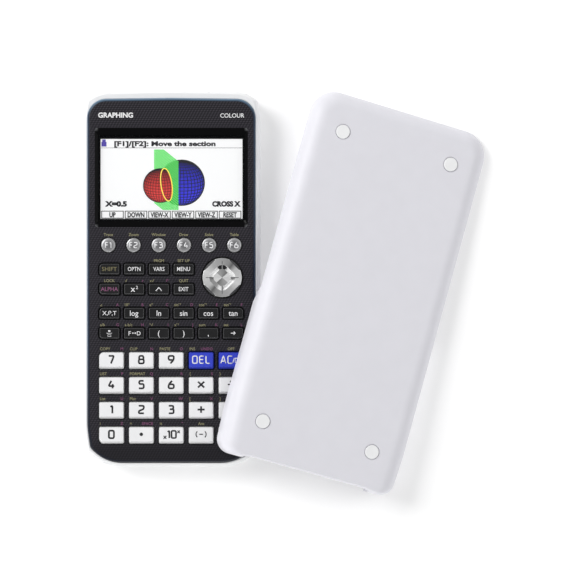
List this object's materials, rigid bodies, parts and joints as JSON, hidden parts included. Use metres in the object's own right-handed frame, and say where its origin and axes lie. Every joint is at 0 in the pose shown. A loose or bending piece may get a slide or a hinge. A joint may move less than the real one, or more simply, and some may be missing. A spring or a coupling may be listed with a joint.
{
  "type": "graphing calculator",
  "caption": "Handheld graphing calculator lying on its back, colour display above a keypad with a round direction pad, with its hard slide-on cover leaning across its lower corner.",
  "frame": {"origin": "middle of the calculator's flat back, on its resting face", "axes": "+Z out of the key face, +Y towards the display end, +X to the user's right"},
  "size_m": [0.2018, 0.2029, 0.0352],
  "materials": {
    "black_shell": "fine twill texture",
    "white_shell": "satin",
    "window": "clear",
    "display": "lit picture",
    "circuit_board": "solder mask",
    "silicone": "matt",
    "cell": "printed sleeve",
    "spring_steel": "plated",
    "screw_steel": "plated",
    "silver_key": "satin",
    "dark_key": "satin",
    "white_key": "satin",
    "blue_key": "satin",
    "silver_pad": "brushed rings",
    "dark_base": "matt",
    "cover_shell": "fine satin",
    "feet": "matt"
  },
  "bodies": {
    "calculator": {"front_case": "black_shell", "rear_case": "white_shell", "display_window": "window", "lcd_module": "display", "main_board": "circuit_board", "keypad_membrane": "silicone", "batteries": "cell", "battery_contacts": "spring_steel", "case_screws": "screw_steel"},
    "battery_door": {"battery_cover": "white_shell"},
    "pad_base": {"nav_base": "dark_base"},
    "pad_disc": {"nav_disc": "silver_pad"},
    "cover": {"slide_cover": "cover_shell", "cover_feet": "feet"},
    "key_f1": {"key_f1": "silver_key"},
    "key_f2": {"key_f2": "silver_key"},
    "key_f3": {"key_f3": "silver_key"},
    "key_f4": {"key_f4": "silver_key"},
    "key_f5": {"key_f5": "silver_key"},
    "key_f6": {"key_f6": "silver_key"},
    "key_shift": {"key_shift": "dark_key"},
    "key_option": {"key_option": "dark_key"},
    "key_vars": {"key_vars": "dark_key"},
    "key_menu": {"key_menu": "dark_key"},
    "key_alpha": {"key_alpha": "dark_key"},
    "key_square": {"key_square": "dark_key"},
    "key_power": {"key_power": "dark_key"},
    "key_exit": {"key_exit": "dark_key"},
    "key_variable": {"key_variable": "dark_key"},
    "key_log": {"key_log": "dark_key"},
    "key_ln": {"key_ln": "dark_key"},
    "key_sin": {"key_sin": "dark_key"},
    "key_cos": {"key_cos": "dark_key"},
    "key_tan": {"key_tan": "dark_key"},
    "key_fraction": {"key_fraction": "dark_key"},
    "key_convert": {"key_convert": "dark_key"},
    "key_open_bracket": {"key_open_bracket": "dark_key"},
    "key_close_bracket": {"key_close_bracket": "dark_key"},
    "key_comma": {"key_comma": "dark_key"},
    "key_store": {"key_store": "dark_key"},
    "key_7": {"key_7": "white_key"},
    "key_8": {"key_8": "white_key"},
    "key_9": {"key_9": "white_key"},
    "key_delete": {"key_delete": "blue_key"},
    "key_clear": {"key_clear": "blue_key"},
    "key_4": {"key_4": "white_key"},
    "key_5": {"key_5": "white_key"},
    "key_6": {"key_6": "white_key"},
    "key_multiply": {"key_multiply": "white_key"},
    "key_divide": {"key_divide": "white_key"},
    "key_1": {"key_1": "white_key"},
    "key_2": {"key_2": "white_key"},
    "key_3": {"key_3": "white_key"},
    "key_plus": {"key_plus": "white_key"},
    "key_minus": {"key_minus": "white_key"},
    "key_0": {"key_0": "white_key"},
    "key_point": {"key_point": "white_key"},
    "key_exponent": {"key_exponent": "white_key"},
    "key_negative": {"key_negative": "white_key"},
    "key_execute": {"key_execute": "white_key"}
  },
  "joints": [
    {"name": "press_f1", "type": "slide", "parent": "calculator", "child": "key_f1", "axis": [0, 0, -1], "range_m": [0, 0.0008], "stiffness_N_per_m": 900, "deforming": ["keypad_membrane"]},
    {"name": "press_f2", "type": "slide", "parent": "calculator", "child": "key_f2", "axis": [0, 0, -1], "range_m": [0, 0.0008], "stiffness_N_per_m": 900, "deforming": ["keypad_membrane"]},
    {"name": "press_f3", "type": "slide", "parent": "calculator", "child": "key_f3", "axis": [0, 0, -1], "range_m": [0, 0.0008], "stiffness_N_per_m": 900, "deforming": ["keypad_membrane"]},
    {"name": "press_f4", "type": "slide", "parent": "calculator", "child": "key_f4", "axis": [0, 0, -1], "range_m": [0, 0.0008], "stiffness_N_per_m": 900, "deforming": ["keypad_membrane"]},
    {"name": "press_f5", "type": "slide", "parent": "calculator", "child": "key_f5", "axis": [0, 0, -1], "range_m": [0, 0.0008], "stiffness_N_per_m": 900, "deforming": ["keypad_membrane"]},
    {"name": "press_f6", "type": "slide", "parent": "calculator", "child": "key_f6", "axis": [0, 0, -1], "range_m": [0, 0.0008], "stiffness_N_per_m": 900, "deforming": ["keypad_membrane"]},
    {"name": "press_shift", "type": "slide", "parent": "calculator", "child": "key_shift", "axis": [0, 0, -1], "range_m": [0, 0.0008], "stiffness_N_per_m": 900, "deforming": ["keypad_membrane"]},
    {"name": "press_option", "type": "slide", "parent": "calculator", "child": "key_option", "axis": [0, 0, -1], "range_m": [0, 0.0008], "stiffness_N_per_m": 900, "deforming": ["keypad_membrane"]},
    {"name": "press_vars", "type": "slide", "parent": "calculator", "child": "key_vars", "axis": [0, 0, -1], "range_m": [0, 0.0008], "stiffness_N_per_m": 900, "deforming": ["keypad_membrane"]},
    {"name": "press_menu", "type": "slide", "parent": "calculator", "child": "key_menu", "axis": [0, 0, -1], "range_m": [0, 0.0008], "stiffness_N_per_m": 900, "deforming": ["keypad_membrane"]},
    {"name": "press_alpha", "type": "slide", "parent": "calculator", "child": "key_alpha", "axis": [0, 0, -1], "range_m": [0, 0.0008], "stiffness_N_per_m": 900, "deforming": ["keypad_membrane"]},
    {"name": "press_square", "type": "slide", "parent": "calculator", "child": "key_square", "axis": [0, 0, -1], "range_m": [0, 0.0008], "stiffness_N_per_m": 900, "deforming": ["keypad_membrane"]},
    {"name": "press_power", "type": "slide", "parent": "calculator", "child": "key_power", "axis": [0, 0, -1], "range_m": [0, 0.0008], "stiffness_N_per_m": 900, "deforming": ["keypad_membrane"]},
    {"name": "press_exit", "type": "slide", "parent": "calculator", "child": "key_exit", "axis": [0, 0, -1], "range_m": [0, 0.0008], "stiffness_N_per_m": 900, "deforming": ["keypad_membrane"]},
    {"name": "press_variable", "type": "slide", "parent": "calculator", "child": "key_variable", "axis": [0, 0, -1], "range_m": [0, 0.0008], "stiffness_N_per_m": 900, "deforming": ["keypad_membrane"]},
    {"name": "press_log", "type": "slide", "parent": "calculator", "child": "key_log", "axis": [0, 0, -1], "range_m": [0, 0.0008], "stiffness_N_per_m": 900, "deforming": ["keypad_membrane"]},
    {"name": "press_ln", "type": "slide", "parent": "calculator", "child": "key_ln", "axis": [0, 0, -1], "range_m": [0, 0.0008], "stiffness_N_per_m": 900, "deforming": ["keypad_membrane"]},
    {"name": "press_sin", "type": "slide", "parent": "calculator", "child": "key_sin", "axis": [0, 0, -1], "range_m": [0, 0.0008], "stiffness_N_per_m": 900, "deforming": ["keypad_membrane"]},
    {"name": "press_cos", "type": "slide", "parent": "calculator", "child": "key_cos", "axis": [0, 0, -1], "range_m": [0, 0.0008], "stiffness_N_per_m": 900, "deforming": ["keypad_membrane"]},
    {"name": "press_tan", "type": "slide", "parent": "calculator", "child": "key_tan", "axis": [0, 0, -1], "range_m": [0, 0.0008], "stiffness_N_per_m": 900, "deforming": ["keypad_membrane"]},
    {"name": "press_fraction", "type": "slide", "parent": "calculator", "child": "key_fraction", "axis": [0, 0, -1], "range_m": [0, 0.0008], "stiffness_N_per_m": 900, "deforming": ["keypad_membrane"]},
    {"name": "press_convert", "type": "slide", "parent": "calculator", "child": "key_convert", "axis": [0, 0, -1], "range_m": [0, 0.0008], "stiffness_N_per_m": 900, "deforming": ["keypad_membrane"]},
    {"name": "press_open_bracket", "type": "slide", "parent": "calculator", "child": "key_open_bracket", "axis": [0, 0, -1], "range_m": [0, 0.0008], "stiffness_N_per_m": 900, "deforming": ["keypad_membrane"]},
    {"name": "press_close_bracket", "type": "slide", "parent": "calculator", "child": "key_close_bracket", "axis": [0, 0, -1], "range_m": [0, 0.0008], "stiffness_N_per_m": 900, "deforming": ["keypad_membrane"]},
    {"name": "press_comma", "type": "slide", "parent": "calculator", "child": "key_comma", "axis": [0, 0, -1], "range_m": [0, 0.0008], "stiffness_N_per_m": 900, "deforming": ["keypad_membrane"]},
    {"name": "press_store", "type": "slide", "parent": "calculator", "child": "key_store", "axis": [0, 0, -1], "range_m": [0, 0.0008], "stiffness_N_per_m": 900, "deforming": ["keypad_membrane"]},
    {"name": "press_7", "type": "slide", "parent": "calculator", "child": "key_7", "axis": [0, 0, -1], "range_m": [0, 0.0008], "stiffness_N_per_m": 900, "deforming": ["keypad_membrane"]},
    {"name": "press_8", "type": "slide", "parent": "calculator", "child": "key_8", "axis": [0, 0, -1], "range_m": [0, 0.0008], "stiffness_N_per_m": 900, "deforming": ["keypad_membrane"]},
    {"name": "press_9", "type": "slide", "parent": "calculator", "child": "key_9", "axis": [0, 0, -1], "range_m": [0, 0.0008], "stiffness_N_per_m": 900, "deforming": ["keypad_membrane"]},
    {"name": "press_delete", "type": "slide", "parent": "calculator", "child": "key_delete", "axis": [0, 0, -1], "range_m": [0, 0.0008], "stiffness_N_per_m": 900, "deforming": ["keypad_membrane"]},
    {"name": "press_clear", "type": "slide", "parent": "calculator", "child": "key_clear", "axis": [0, 0, -1], "range_m": [0, 0.0008], "stiffness_N_per_m": 900, "deforming": ["keypad_membrane"]},
    {"name": "press_4", "type": "slide", "parent": "calculator", "child": "key_4", "axis": [0, 0, -1], "range_m": [0, 0.0008], "stiffness_N_per_m": 900, "deforming": ["keypad_membrane"]},
    {"name": "press_5", "type": "slide", "parent": "calculator", "child": "key_5", "axis": [0, 0, -1], "range_m": [0, 0.0008], "stiffness_N_per_m": 900, "deforming": ["keypad_membrane"]},
    {"name": "press_6", "type": "slide", "parent": "calculator", "child": "key_6", "axis": [0, 0, -1], "range_m": [0, 0.0008], "stiffness_N_per_m": 900, "deforming": ["keypad_membrane"]},
    {"name": "press_multiply", "type": "slide", "parent": "calculator", "child": "key_multiply", "axis": [0, 0, -1], "range_m": [0, 0.0008], "stiffness_N_per_m": 900, "deforming": ["keypad_membrane"]},
    {"name": "press_divide", "type": "slide", "parent": "calculator", "child": "key_divide", "axis": [0, 0, -1], "range_m": [0, 0.0008], "stiffness_N_per_m": 900, "deforming": ["keypad_membrane"]},
    {"name": "press_1", "type": "slide", "parent": "calculator", "child": "key_1", "axis": [0, 0, -1], "range_m": [0, 0.0008], "stiffness_N_per_m": 900, "deforming": ["keypad_membrane"]},
    {"name": "press_2", "type": "slide", "parent": "calculator", "child": "key_2", "axis": [0, 0, -1], "range_m": [0, 0.0008], "stiffness_N_per_m": 900, "deforming": ["keypad_membrane"]},
    {"name": "press_3", "type": "slide", "parent": "calculator", "child": "key_3", "axis": [0, 0, -1], "range_m": [0, 0.0008], "stiffness_N_per_m": 900, "deforming": ["keypad_membrane"]},
    {"name": "press_plus", "type": "slide", "parent": "calculator", "child": "key_plus", "axis": [0, 0, -1], "range_m": [0, 0.0008], "stiffness_N_per_m": 900, "deforming": ["keypad_membrane"]},
    {"name": "press_minus", "type": "slide", "parent": "calculator", "child": "key_minus", "axis": [0, 0, -1], "range_m": [0, 0.0008], "stiffness_N_per_m": 900, "deforming": ["keypad_membrane"]},
    {"name": "press_0", "type": "slide", "parent": "calculator", "child": "key_0", "axis": [0, 0, -1], "range_m": [0, 0.0008], "stiffness_N_per_m": 900, "deforming": ["keypad_membrane"]},
    {"name": "press_point", "type": "slide", "parent": "calculator", "child": "key_point", "axis": [0, 0, -1], "range_m": [0, 0.0008], "stiffness_N_per_m": 900, "deforming": ["keypad_membrane"]},
    {"name": "press_exponent", "type": "slide", "parent": "calculator", "child": "key_exponent", "axis": [0, 0, -1], "range_m": [0, 0.0008], "stiffness_N_per_m": 900, "deforming": ["keypad_membrane"]},
    {"name": "press_negative", "type": "slide", "parent": "calculator", "child": "key_negative", "axis": [0, 0, -1], "range_m": [0, 0.0008], "stiffness_N_per_m": 900, "deforming": ["keypad_membrane"]},
    {"name": "press_execute", "type": "slide", "parent": "calculator", "child": "key_execute", "axis": [0, 0, -1], "range_m": [0, 0.0008], "stiffness_N_per_m": 900, "deforming": ["keypad_membrane"]},
    {"name": "pad_rock_up_down", "type": "hinge", "parent": "calculator", "child": "pad_base", "pos_m": [0.0254, 0.0005, 0.0156], "axis": [1, 0, 0], "range_deg": [-2, 2], "stiffness_Nm_per_rad": 0.45, "deforming": ["keypad_membrane"]},
    {"name": "pad_rock_left_right", "type": "hinge", "parent": "pad_base", "child": "pad_disc", "pos_m": [0.0254, 0.0005, 0.0156], "axis": [0, 1, 0], "range_deg": [-2, 2], "stiffness_Nm_per_rad": 0.45, "deforming": ["keypad_membrane"]},
    {"name": "battery_door_swing", "type": "hinge", "parent": "calculator", "child": "battery_door", "pos_m": [0, -0.02875, 0.00075], "axis": [1, 0, 0], "range_deg": [0, 75]},
    {"name": "cover_lift", "type": "slide", "parent": "calculator", "child": "cover", "axis": [0, 0, 1], "range_m": [0, 0.08]}
  ]
}
